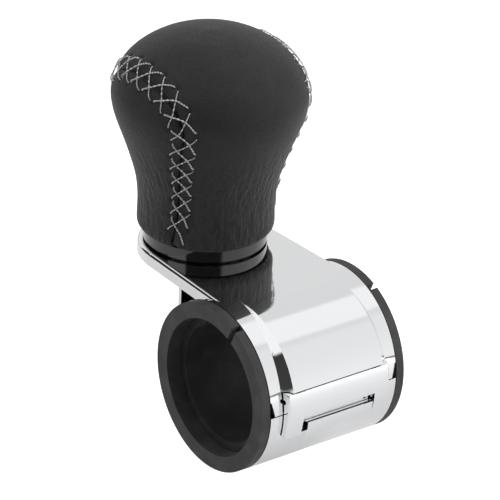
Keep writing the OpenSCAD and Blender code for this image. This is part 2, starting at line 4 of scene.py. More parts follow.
import json
import logging
import math
from dataclasses import dataclass
from enum import Enum
from typing import Iterable

import bmesh
import bpy
import numpy as np
from mathutils import Matrix, Vector
from mathutils.bvhtree import BVHTree

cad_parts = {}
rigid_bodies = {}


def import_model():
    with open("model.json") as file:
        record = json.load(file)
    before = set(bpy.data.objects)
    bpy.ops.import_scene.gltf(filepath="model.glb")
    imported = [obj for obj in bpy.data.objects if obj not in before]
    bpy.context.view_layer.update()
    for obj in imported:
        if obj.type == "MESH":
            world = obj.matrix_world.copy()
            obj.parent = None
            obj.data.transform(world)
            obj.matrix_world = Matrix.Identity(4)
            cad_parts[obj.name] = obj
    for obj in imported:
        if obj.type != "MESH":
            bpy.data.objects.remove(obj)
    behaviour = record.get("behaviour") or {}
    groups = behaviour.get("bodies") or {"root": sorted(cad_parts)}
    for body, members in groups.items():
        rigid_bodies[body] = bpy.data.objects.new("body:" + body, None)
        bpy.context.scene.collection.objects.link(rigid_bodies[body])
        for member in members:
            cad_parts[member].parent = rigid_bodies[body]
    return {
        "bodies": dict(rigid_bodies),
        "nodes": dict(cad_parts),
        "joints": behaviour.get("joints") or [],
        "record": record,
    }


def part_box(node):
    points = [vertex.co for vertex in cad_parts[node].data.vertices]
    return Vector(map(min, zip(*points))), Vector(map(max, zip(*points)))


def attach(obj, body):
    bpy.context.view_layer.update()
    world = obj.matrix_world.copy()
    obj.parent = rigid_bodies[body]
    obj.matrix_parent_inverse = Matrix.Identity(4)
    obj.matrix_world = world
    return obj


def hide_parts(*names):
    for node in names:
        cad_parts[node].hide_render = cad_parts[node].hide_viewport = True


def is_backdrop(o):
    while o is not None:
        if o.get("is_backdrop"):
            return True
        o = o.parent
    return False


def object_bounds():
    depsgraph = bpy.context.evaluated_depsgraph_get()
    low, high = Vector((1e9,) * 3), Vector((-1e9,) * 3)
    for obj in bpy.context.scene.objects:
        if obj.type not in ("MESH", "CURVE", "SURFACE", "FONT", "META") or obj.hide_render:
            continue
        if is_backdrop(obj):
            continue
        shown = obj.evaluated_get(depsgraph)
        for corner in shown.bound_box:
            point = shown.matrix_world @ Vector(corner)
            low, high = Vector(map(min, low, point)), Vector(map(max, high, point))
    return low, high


log = logging.getLogger("spinner_knob")

MM = 0.001
IMAGE_PX = 500
SENSOR_MM = 36.0

Colour = tuple[float, float, float]


class Slot(Enum):
    """The record's material slots."""

    CHROME = "chrome_casting"
    RUBBER = "sleeve_rubber"
    STEEL = "steel_parts"
    GLOSS = "gloss_ring"
    LEATHER = "knob_leather"
    THREAD = "lacing_thread"
    CORE = "moulded_core"
    BUSH = "plain_bush"


class Value:
    """A socket's number in a material, on which Python's operators add Math nodes."""

    def __init__(self, board: "Board", socket: bpy.types.NodeSocket) -> None:
        """Wrap a socket.

        Args:
            board: The material that the socket is in.
            socket: The output socket.
        """
        self.board = board
        self.socket = socket

    def maths(self, operation: str, *others: "Value | float") -> "Value":
        """Add one Math node.

        Args:
            operation: The Math node's operation.
            others: Its further inputs.

        Returns:
            The node's result.
        """
        inputs = {index: item for index, item in enumerate((self, *others))}
        return self.board.node("ShaderNodeMath", {"operation": operation}, inputs).value()

    def __add__(self, other: "Value | float") -> "Value":
        """Sum."""
        return self.maths("ADD", other)

    __radd__ = __add__

    def __mul__(self, other: "Value | float") -> "Value":
        """Product."""
        return self.maths("MULTIPLY", other)

    __rmul__ = __mul__

    def __sub__(self, other: "Value | float") -> "Value":
        """Difference."""
        return self.maths("SUBTRACT", other)

    def __rsub__(self, other: float) -> "Value":
        """Difference from a number."""
        return (self * -1.0) + other

    def clamped(self) -> "Value":
        """The number held between 0 and 1."""
        return self.maths("MINIMUM", 1.0).maths("MAXIMUM", 0.0)

    def smooth(self, low: float, high: float) -> "Value":
        """A smooth step of the number.

        Args:
            low: Where the step starts, at 0.
            high: Where it ends, at 1.

        Returns:
            The step.
        """
        settings = {"interpolation_type": "SMOOTHSTEP"}
        inputs = {"Value": self, "From Min": low, "From Max": high}
        return self.board.node("ShaderNodeMapRange", settings, inputs).value()


class Made:
    """A node that was just added, with short ways to its outputs."""

    def __init__(self, board: "Board", node: bpy.types.Node) -> None:
        """Wrap a node.

        Args:
            board: The material that it is in.
            node: The node.
        """
        self.board = board
        self.node = node

    def value(self, output: str | int = 0) -> Value:
        """One output as a number."""
        return Value(self.board, self.node.outputs[output])


class Board:
    """A material's node tree, filled by one node-making method."""

    def __init__(self, name: str, world: bpy.types.World | None = None) -> None:
        """Start an empty material, or empty a world's nodes.

        Args:
            name: The material's name.
            world: The world, where it is one.
        """
        self.material = world or bpy.data.materials.new(name)
        self.material.use_nodes = True
        self.tree = self.material.node_tree
        self.tree.nodes.clear()

    def node(self, kind: str, settings: dict | None = None, inputs: dict | None = None) -> Made:
        """Add a node.

        Args:
            kind: The node's type.
            settings: Its properties; "stops" holds a ramp's positions and greys or colours.
            inputs: Values or links of its sockets, by name or number.

        Returns:
            The node.
        """
        node = self.tree.nodes.new(kind)
        for name, item in (settings or {}).items():
            if name == "stops":
                self._stops(node.color_ramp, item)
            else:
                setattr(node, name, item)
        for name, item in (inputs or {}).items():
            if isinstance(item, Value):
                self.tree.links.new(item.socket, node.inputs[name])
            else:
                node.inputs[name].default_value = item
        return Made(self, node)

    @staticmethod
    def _stops(ramp: bpy.types.ColorRamp, stops: Iterable[tuple[float, float | Colour]]) -> None:
        """Set a ramp's stops.

        Args:
            ramp: The ramp.
            stops: Position and grey or colour of each.
        """
        listed = list(stops)
        while len(ramp.elements) < len(listed):
            ramp.elements.new(1.0)
        for element, (position, tone) in zip(ramp.elements, listed):
            colour = (tone, tone, tone) if isinstance(tone, (int, float)) else tone
            element.position = position
            element.color = (*colour, 1.0)

    def place(self, scale: Colour = (1.0, 1.0, 1.0)) -> Value:
        """Object coordinates, stretched by a scale."""
        here = self.node("ShaderNodeTexCoord").value("Object")
        if scale == (1.0, 1.0, 1.0):
            return here
        return self.node("ShaderNodeMapping", None, {"Vector": here, "Scale": scale}).value()

    def speckle(self, size_mm: float, detail: float = 2.0, stretch: Colour = (1.0, 1.0, 1.0)) -> Value:
        """Noise on object coordinates.

        Args:
            size_mm: Size of its features.
            detail: Octaves.
            stretch: Scale along each axis.

        Returns:
            The noise, about 0.5.
        """
        inputs = {"Vector": self.place(stretch), "Scale": 1.0 / (size_mm * MM), "Detail": detail}
        return self.node("ShaderNodeTexNoise", None, inputs).value("Fac")

    def cells(self, size_mm: float, feature: str = "F1", warp: Value | None = None) -> Value:
        """Voronoi cells on object coordinates.

        Args:
            size_mm: Size of a cell.
            feature: What the node measures.
            warp: Coordinates to use in place of the plain ones.

        Returns:
            The measure.
        """
        inputs = {"Vector": warp or self.place(), "Scale": 1.0 / (size_mm * MM)}
        return self.node("ShaderNodeTexVoronoi", {"feature": feature}, inputs).value("Distance")

    def bump(self, height: Value, depth_mm: float, below: Value | None = None) -> Value:
        """A bump.

        Args:
            height: Height from 0 to 1.
            depth_mm: What 1 stands for.
            below: A bump that it lies on.

        Returns:
            The normal.
        """
        inputs: dict = {"Height": height, "Distance": depth_mm * MM, "Strength": 1.0}
        if below:
            inputs["Normal"] = below
        return self.node("ShaderNodeBump", None, inputs).value("Normal")

    def blend(self, share: Value, first: Colour | Value, second: Colour | Value) -> Value:
        """A colour between two others."""
        inputs = {"Factor": share, 6: self._rgba(first), 7: self._rgba(second)}
        return self.node("ShaderNodeMix", {"data_type": "RGBA"}, inputs).value(2)

    @staticmethod
    def _rgba(colour: Colour | Value) -> Value | tuple[float, float, float, float]:
        """A colour with alpha, or the link as it is."""
        return colour if isinstance(colour, Value) else (*colour, 1.0)

    def shade(self, **inputs: float | Colour | Value) -> bpy.types.Material:
        """Finish the material with a Principled shader.

        Args:
            inputs: The shader's sockets, with underscores for spaces.

        Returns:
            The material.
        """
        named = {name.replace("_", " "): item for name, item in inputs.items()}
        for name in ("Base Color", "Sheen Tint"):
            if name in named:
                named[name] = self._rgba(named[name])
        shader = self.node("ShaderNodeBsdfPrincipled", None, named).value("BSDF")
        self.node("ShaderNodeOutputMaterial", None, {"Surface": shader})
        return self.material


@dataclass(frozen=True)
class ChromePlate:
    """Bright nickel-chrome plating over a die casting, nearly a mirror."""

    colour: Colour = (0.87, 0.875, 0.885)
    roughness: float = 0.035
    ripple_mm: float = 9.0
    ripple_depth_mm: float = 0.004

    def material(self, name: str = "chrome_plate") -> bpy.types.Material:
        """The plating: a long faint ripple from the polishing, and fine dulling."""
        board = Board(name)
        haze = board.speckle(0.7, 3.0)
        ripple = board.speckle(self.ripple_mm, 1.0)
        return board.shade(Base_Color=self.colour, Metallic=1.0, Roughness=haze * 0.03 + self.roughness,
                           Normal=board.bump(ripple, self.ripple_depth_mm))


@dataclass(frozen=True)
class SleeveRubber:
    """Moulded black rubber with a dull, slightly dusty skin."""

    colour: Colour = (0.037, 0.037, 0.038)
    worn: Colour = (0.056, 0.056, 0.057)

    def material(self, name: str = "sleeve_rubber") -> bpy.types.Material:
        """Rubber: fine moulded grain and faint bloom."""
        board = Board(name)
        bloom = board.speckle(5.0, 4.0).smooth(0.35, 0.75)
        grain = board.speckle(0.18, 3.0)
        return board.shade(Base_Color=board.blend(bloom, self.colour, self.worn), Roughness=grain * 0.2 + 0.5,
                           Specular_IOR_Level=0.3, Normal=board.bump(grain, 0.02))


@dataclass(frozen=True)
class GlossBlack:
    """Black plastic turned and polished."""

    colour: Colour = (0.011, 0.011, 0.012)

    def material(self, name: str = "gloss_black") -> bpy.types.Material:
        """Gloss black with faint handling marks."""
        board = Board(name)
        marks = board.speckle(1.4, 5.0, (1.0, 1.0, 6.0))
        return board.shade(Base_Color=self.colour, Roughness=marks * 0.08 + 0.05, Coat_Weight=1.0,
                           Specular_IOR_Level=0.3, Coat_Roughness=0.04, Normal=board.bump(marks, 0.003))


@dataclass(frozen=True)
class CharcoalLeather:
    """Fine-grained charcoal leather, creased where it draws in to the neck."""

    deep: Colour = (0.0105, 0.0105, 0.011)
    high: Colour = (0.027, 0.027, 0.0285)
    # painted shade: the colour that the seam line and the needle holes are darkened to
    fold: Colour = (0.003, 0.003, 0.003)
    cell_mm: float = 0.7

    def material(self, name: str, neck_top: float) -> bpy.types.Material:
        """Leather: pebbled cells, pores, long creases at the neck, cloudy dye, and painted shade along the seam and
        in the needle holes.

        Args:
            name: The material's name.
            neck_top: Height where the neck ends, in metres.

        Returns:
            The material.
        """
        board = Board(name)
        here = board.place()
        wobble = board.node("ShaderNodeTexNoise", None, {"Vector": here, "Scale": 700.0}).value("Color")
        bent = board.node("ShaderNodeVectorMath", {"operation": "MULTIPLY_ADD"},
                          {0: wobble, 1: (0.0004, 0.0004, 0.0004), 2: here}).value()
        pebble = board.cells(self.cell_mm, "DISTANCE_TO_EDGE", bent).smooth(0.0, 0.32)
        pores = board.speckle(0.16, 2.0)
        grain = pebble * 0.75 + pores * 0.25
        height = board.node("ShaderNodeSeparateXYZ", None, {"Vector": here}).value("Z")
        neck = 1.0 - height.smooth(neck_top - 0.006, neck_top + 0.012)
        creases = board.speckle(1.5, 2.5, (1.0, 1.0, 0.36)).smooth(0.36, 0.66)
        swell = board.speckle(6.0, 2.0, (1.0, 1.0, 0.5))
        depth = board.bump(creases * neck, 0.2, board.bump(swell, 0.16))
        fine = board.bump(grain, 0.05, depth)
        cloud = board.speckle(8.0, 4.0).smooth(0.2, 0.8)
        tone = (grain * 0.3 + cloud * 0.35 + creases * neck * 0.35).clamped()
        colour = board.blend(tone, self.deep, self.high)
        # painted shade: the skin's seam and needle-hole mask darkens the leather towards the painted shade colour
        shade = board.node("ShaderNodeAttribute", {"attribute_name": "fold"}).value("Fac").clamped()
        return board.shade(Base_Color=board.blend(shade, colour, self.fold), Roughness=0.6 - grain * 0.12,
                           Specular_IOR_Level=0.3, Sheen_Weight=0.05, Sheen_Roughness=0.4, Normal=fine)


@dataclass(frozen=True)
class WaxedThread:
    """Pale grey laced thread, twisted from three yarns."""

    colour: Colour = (0.74, 0.74, 0.735)
    shadow: Colour = (0.52, 0.52, 0.52)

    def material(self, name: str = "waxed_thread") -> bpy.types.Material:
        """Thread: fibres and a slight wax sheen."""
        board = Board(name)
        fibres = board.speckle(0.09, 3.0)
        return board.shade(Base_Color=board.blend(fibres, self.shadow, self.colour), Roughness=0.6,
                           Sheen_Weight=0.2, Normal=board.bump(fibres, 0.03))


@dataclass(frozen=True)
class PlainMetal:
    """Zinc-plated steel of the pins, the nuts and the post."""

    colour: Colour = (0.6, 0.61, 0.63)

    def material(self, name: str = "zinc_steel") -> bpy.types.Material:
        """Plated steel with fine turning marks."""
        board = Board(name)
        turned = board.speckle(0.25, 3.0, (1.0, 1.0, 0.2))
        return board.shade(Base_Color=self.colour, Metallic=1.0, Roughness=turned * 0.16 + 0.2,
                           Normal=board.bump(turned, 0.006))


@dataclass(frozen=True)
class MouldedPlastic:
    """Satin moulded plastic of the core, the bushes and the plain washer."""

    colour: Colour = (0.05, 0.05, 0.055)

    def material(self, name: str) -> bpy.types.Material:
        """Satin plastic with a fine eroded texture."""
        board = Board(name)
        texture = board.speckle(0.12, 2.0)
        return board.shade(Base_Color=self.colour, Roughness=texture * 0.12 + 0.4,
                           Normal=board.bump(texture, 0.01))


def link(name: str, mesh: bpy.types.Mesh, material: bpy.types.Material) -> bpy.types.Object:
    """Put a mesh in the scene as one object at the origin.

    Args:
        name: The piece's name.
        mesh: Its mesh.
        material: Its material.

    Returns:
        The object.
    """
    mesh.materials.clear()
    mesh.materials.append(material)
    piece = bpy.data.objects.new(name, mesh)
    bpy.context.scene.collection.objects.link(piece)
    return piece


def dress(node: bpy.types.Object, material: bpy.types.Material) -> None:
    """Give a CAD node a material, and leave its mesh alone.

    Args:
        node: The node's object.
        material: The material.
    """
    if not node.material_slots:
        node.data.materials.append(material)
    for held in node.material_slots:
        held.material = material


@dataclass
class Casting:
    """A plated casting: a welded copy of its solid, with every edge eased."""

    node: str
    body: str
    edge_mm: float = 0.2
    weld_mm: float = 0.002
    flat_deg: float = 0.4
    sharp_deg: float = 32.0

    def build(self, frame: dict, material: bpy.types.Material) -> bpy.types.Object:
        """Build the casting's visible mesh.

        Args:
            frame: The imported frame.
            material: The plating.

        Returns:
            The piece.
        """
        shape = bmesh.new()
        shape.from_mesh(frame["nodes"][self.node].data)
        bmesh.ops.remove_doubles(shape, verts=shape.verts, dist=self.weld_mm * MM)
        bmesh.ops.dissolve_limit(shape, angle_limit=math.radians(self.flat_deg), verts=shape.verts,
                                 edges=shape.edges, delimit={"NORMAL"})
        mesh = bpy.data.meshes.new(self.node + "_plated")
        for face in shape.faces:
            face.smooth = True
        shape.to_mesh(mesh)
        shape.free()
        piece = link(self.node + "_plated", mesh, material)
        ease = piece.modifiers.new("eased_edges", "BEVEL")
        ease.width = self.edge_mm * MM
        ease.segments = 3
        ease.limit_method = "ANGLE"
        ease.angle_limit = math.radians(self.sharp_deg)
        ease.use_clamp_overlap = True
        even = piece.modifiers.new("even_shading", "WEIGHTED_NORMAL")
        even.weight = 100
        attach(piece, self.body)
        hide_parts(self.node)
        log.info("%s: %d faces", piece.name, len(mesh.polygons))
        return piece


@dataclass
class Seam:
    """The leather's seam as seen along Y: up the neck, over the head and down its back."""

    gap: float = 0.3
    head: float = 26.8
    high: float = 60.9
    steps: int = 8
    shape: tuple[tuple[float, float], ...] = (
        (0.276, 0.066), (0.321, 0.197), (0.369, 0.328), (0.455, 0.468), (0.545, 0.573), (0.606, 0.657),
        (0.604, 0.713), (0.541, 0.768), (0.425, 0.816), (0.287, 0.844), (0.138, 0.862), (-0.045, 0.869),
        (-0.235, 0.864), (-0.41, 0.842), (-0.604, 0.798), (-0.776, 0.739), (-0.895, 0.678), (-0.975, 0.634))

    def __post_init__(self) -> None:
        """Lay the seam's curve out in mm, and prepare the distances from it."""
        knots = np.array(self.shape) * (self.head, self.high)
        before, after = np.roll(knots, 1, 0), np.roll(knots, -1, 0)
        before[0], after[-1] = knots[0], knots[-1]
        points = []
        for k in range(len(knots) - 1):
            a, b, c, d = before[k], knots[k], knots[k + 1], after[k + 1]
            for t in np.arange(self.steps) / self.steps:
                points.append(0.5 * (2 * b + t * (c - a) + t * t * (2 * a - 5 * b + 4 * c - d)
                                     + t ** 3 * (3 * b - a - 3 * c + d)))
        self.line = np.array([*points, knots[-1]])
        ends = np.array([[self.line[0][0], -20.0]]), np.array([[-60.0, self.line[-1][1]]])
        self.path = np.concatenate([ends[0], self.line, ends[1]])
        self.start = self.path[:-1]
        self.run = np.diff(self.path, axis=0)
        self.run_squared = (self.run ** 2).sum(1)

    def side(self, places: np.ndarray) -> np.ndarray:
        """How far points lie to the crown's side of the seam.

        Args:
            places: Points in mm from the axis on the arm.

        Returns:
            The distances in mm as seen along Y; negative on the other side.
        """
        flat = places[:, (0, 2)]
        best = np.full(len(flat), np.inf)
        turn = np.zeros(len(flat))
        for start, run, squared in zip(self.start, self.run, self.run_squared):
            away = flat - start
            share = np.clip(away @ run / squared, 0.0, 1.0)
            off = away - share[:, None] * run
            reach = (off ** 2).sum(1)
            nearer = reach < best
            best[nearer] = reach[nearer]
            turn[nearer] = (run[0] * off[:, 1] - run[1] * off[:, 0])[nearer]
        return np.sqrt(best) * np.where(turn > 0, -1.0, 1.0)


class KnobForm:
    """The leather's outside, read from the frame by casting rays at the knob's axis."""

    def __init__(self, frame: dict, samples: int = 170) -> None:
        """Read the outline.

        Args:
            frame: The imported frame.
            samples: Heights at which the radius is read.
        """
        joint = next(j for j in frame["joints"] if j["name"] == "knob_spin")
        self.axis = Vector(joint["pos_m"])
        node = frame["nodes"]["leather_front_panel"]
        shape = bmesh.new()
        shape.from_mesh(node.data)
        tree = BVHTree.FromBMesh(shape)
        shape.free()
        low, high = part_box("leather_front_panel")
        heights = low.z + (high.z - low.z) * (0.5 - 0.5 * np.cos(np.linspace(0.02, math.pi - 0.02, samples)))
        found = []
        for z in heights:
            start = Vector((self.axis.x + 0.1, 0.0, z))
            hit = tree.ray_cast(start, Vector((-1.0, 0.0, 0.0)))[0]
            found.append((hit.x - self.axis.x) / MM)
        self.z = (heights - self.axis.z) / MM
        self.r = np.array(found)
        self.low = (low.z - self.axis.z) / MM
        self.high = (high.z - self.axis.z) / MM

    def radius(self, z: float) -> float:
        """Radius at a height over the arm, both in mm."""
        return float(np.interp(z, self.z, self.r))

    def normal(self, point: Vector) -> Vector:
        """Outward normal at a point near the leather, given in mm from the axis on the arm."""
        slope = self.radius(point.z + 0.4) - self.radius(point.z - 0.4)
        flat = Vector((point.x, point.y, 0.0)).normalized()
        return Vector((flat.x, flat.y, -slope / 0.8)).normalized()

    def world(self, point: Vector) -> Vector:
        """A point in mm from the axis on the arm, in the frame's metres."""
        return self.axis + point * MM


class SeamPath:
    """The seam laid on the leather, measured along its length in mm and in stitches."""

    neck_pitch = 5.15
    head_pitch = 5.7

    def __init__(self, form: KnobForm, seam: Seam) -> None:
        """Lay the seam.

        Args:
            form: The knob's form.
            seam: The seam's line.
        """
        self.form = form
        side = []
        for x, z in seam.line:
            room = form.radius(z) ** 2 - x * x
            if room > 20.0 or x > 0.0:
                side.append(Vector((x, -math.sqrt(room), z)))
        back_z = float(seam.line[-1][1])
        back = Vector((-form.radius(back_z), 0.0, back_z))
        points = side + [back] + [Vector((p.x, -p.y, p.z)) for p in reversed(side)]
        self.points = np.array([tuple(p) for p in points])
        steps = np.linalg.norm(np.diff(self.points, axis=0), axis=1)
        self.length = np.concatenate([[0.0], np.cumsum(steps)])
        wide = np.clip((self.points[:, 2] - 24.0) / 12.0, 0.0, 1.0)
        pitch = self.neck_pitch + (self.head_pitch - self.neck_pitch) * wide
        self.count = np.concatenate([[0.0], np.cumsum(steps / (pitch[1:] + pitch[:-1]) * 2)])
        self.stitches = float(self.count[-1])

    def at(self, s: float) -> Vector:
        """The point at a length along the seam."""
        return Vector([float(np.interp(s, self.length, self.points[:, k])) for k in range(3)])

    def length_at(self, count: float) -> float:
        """Length along the seam at a count of stitches."""
        return float(np.interp(count, self.count, self.length))

    def stitch_at(self, s: np.ndarray) -> np.ndarray:
        """Count of stitches at lengths along the seam."""
        return np.interp(s, self.length, self.count)

    def nearest(self, places: np.ndarray) -> tuple[np.ndarray, np.ndarray]:
        """Find the seam from points near it.

        Args:
            places: Points in mm from the axis on the arm.

        Returns:
            How far each is from the seam, and the length along the seam there.
        """
        best = np.full(len(places), np.inf)
        along = np.zeros(len(places))
        for k in range(len(self.points) - 1):
            start, run = self.points[k], self.points[k + 1] - self.points[k]
            off = places - start
            share = np.clip(off @ run / max(run @ run, 1e-9), 0.0, 1.0)
            reach = ((off - share[:, None] * run) ** 2).sum(1)
            nearer = reach < best
            best[nearer] = reach[nearer]
            along[nearer] = (self.length[k] + share * (self.length[k + 1] - self.length[k]))[nearer]
        return np.sqrt(best), along

    def on_leather(self, s: float, w: float, lift: float) -> Vector:
        """A point beside the seam.

        Args:
            s: Length along the seam.
            w: Distance across it.
            lift: Height over the leather.

        Returns:
            The point, in mm from the axis on the arm.
        """
        here = self.at(s)
        along = (self.at(s + 0.5) - self.at(s - 0.5)).normalized()
        across = self.form.normal(here).cross(along).normalized()
        beside = here + across * w
        flat = Vector((beside.x, beside.y, 0.0)).normalized() * self.form.radius(beside.z)
        on = Vector((flat.x, flat.y, beside.z))
        return on + self.form.normal(on) * lift


@dataclass
class LeatherPanel:
    """One leather panel: a spun skin, cut at the seam and drawn in along it."""

    name: str
    node: str
    front: bool
    steps: int = 300
    ring_mm: float = 0.6
    wall_mm: float = 1.2
    edge_sink: float = 0.55
    hole_sink: float = 0.4
    hole_r: float = 0.6
    pucker: float = 0.13

    def build(self, form: KnobForm, seam: Seam, path: SeamPath, holes: np.ndarray,
              material: bpy.types.Material) -> bpy.types.Object:
        """Build the panel.

        Args:
            form: The knob's form.
            seam: The seam's line.
            path: The seam on the leather.
            holes: The needle holes.
            material: The leather.

        Returns:
            The piece.
        """
        shape = self._spin(form)
        self._cut(shape, form, seam)
        self._turn_out(shape, form)
        self._tuck(shape, form, path, holes)
        bmesh.ops.solidify(shape, geom=shape.faces[:], thickness=self.wall_mm * MM)
        for face in shape.faces:
            face.smooth = True
        mesh = bpy.data.meshes.new(self.name)
        shape.to_mesh(mesh)
        shape.free()
        piece = link(self.name, mesh, material)
        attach(piece, "knob")
        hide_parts(self.node)
        return piece

    @staticmethod
    def _turn_out(shape: bmesh.types.BMesh, form: KnobForm) -> None:
        """Point every face of the open skin outwards.

        Args:
            shape: The skin.
            form: The knob's form.
        """
        middle = form.world(Vector((0.0, 0.0, 0.5 * form.high)))
        bmesh.ops.recalc_face_normals(shape, faces=shape.faces)
        turned = [face for face in shape.faces if face.normal.dot(face.calc_center_median() - middle) < 0.0]
        if len(turned) > len(shape.faces) / 2:
            bmesh.ops.reverse_faces(shape, faces=shape.faces)

    def _spin(self, form: KnobForm) -> bmesh.types.BMesh:
        """The whole skin, spun from the outline."""
        outline = np.stack([np.append(form.r, 0.0), np.append(form.z, form.high)], 1)
        run = np.concatenate([[0.0], np.cumsum(np.linalg.norm(np.diff(outline, axis=0), axis=1))])
        shape = bmesh.new()
        previous = None
        for s in np.linspace(0.0, run[-1], int(run[-1] / self.ring_mm)):
            x = float(np.interp(s, run, outline[:, 0]))
            z = float(np.interp(s, run, outline[:, 1]))
            vert = shape.verts.new(form.world(Vector((x, 0.0, z))))
            if previous:
                shape.edges.new((previous, vert))
            previous = vert
        bmesh.ops.spin(shape, geom=shape.verts[:] + shape.edges[:], cent=form.axis, axis=(0.0, 0.0, 1.0),
                       angle=2 * math.pi, steps=self.steps, use_merge=True)
        bmesh.ops.remove_doubles(shape, verts=shape.verts, dist=0.01 * MM)
        return shape

    @staticmethod
    def _places(shape: bmesh.types.BMesh, form: KnobForm) -> np.ndarray:
        """Every vertex in mm from the axis on the arm."""
        return (np.array([tuple(vert.co) for vert in shape.verts]) - np.array(form.axis)) / MM

    def _cut(self, shape: bmesh.types.BMesh, form: KnobForm, seam: Seam) -> None:
        """Cut the skin where it crosses the seam.

        The seam is a plane in a space where the first coordinate is the distance from it, so the
        skin is bent into that space, cut there by one plane, and bent back.

        Args:
            shape: The skin.
            form: The knob's form.
            seam: The seam's line.
        """
        true_place = shape.verts.layers.float_vector.new("true_place")
        sides = seam.side(self._places(shape, form))
        for vert, side in zip(shape.verts, sides):
            vert[true_place] = vert.co
            vert.co.x = float(side)
        half = seam.gap / 2 if self.front else -seam.gap / 2
        bmesh.ops.bisect_plane(shape, geom=shape.verts[:] + shape.edges[:] + shape.faces[:], dist=1e-6,
                               plane_co=(half, 0.0, 0.0), plane_no=(1.0, 0.0, 0.0),
                               clear_inner=self.front, clear_outer=not self.front)
        for vert in shape.verts:
            vert.co = vert[true_place]

    def _tuck(self, shape: bmesh.types.BMesh, form: KnobForm, path: SeamPath, holes: np.ndarray) -> None:
        """Roll the edge in at the seam, pull the needle holes down, pucker the shoulder, and paint shade into the
        seam and the needle holes.

        Args:
            shape: The cut skin.
            form: The knob's form.
            path: The seam on the leather.
            holes: The needle holes.
        """
        fold = shape.verts.layers.float.new("fold")
        places = self._places(shape, form)
        away, along = path.nearest(places)
        hole = np.full(len(places), np.inf)
        for spot in holes:
            hole = np.minimum(hole, ((places - spot) ** 2).sum(1))
        dimple = np.exp(-hole / self.hole_r ** 2)
        edge = np.exp(-((away / 0.75) ** 2))
        waves = np.cos(2 * math.pi * path.stitch_at(along)) * np.exp(-(((away - 4.0) / 2.4) ** 2))
        calm = np.clip((places[:, 2] - 26.0) / 10.0, 0.25, 1.0)
        sink = self.edge_sink * edge + 0.22 * np.exp(-((away / 2.6) ** 2)) + self.hole_sink * dimple
        sink += self.pucker * calm * (0.5 - 0.5 * waves) * np.exp(-((away / 5.5) ** 2))
        # painted shade: darkest on the seam line and in the needle holes, with a faint halo beside the seam
        shade = np.clip(1.1 * np.exp(-((away / 0.4) ** 2)) + 0.9 * dimple + 0.2 * np.exp(-((away / 1.6) ** 2)), 0, 1)
        for vert, place, depth, dark in zip(shape.verts, places, sink, shade):
            out = form.normal(Vector(place)) if place[2] < form.high - 1.0 else Vector((0.0, 0.0, 1.0))
            vert.co -= out * float(depth) * MM
            vert[fold] = float(dark)


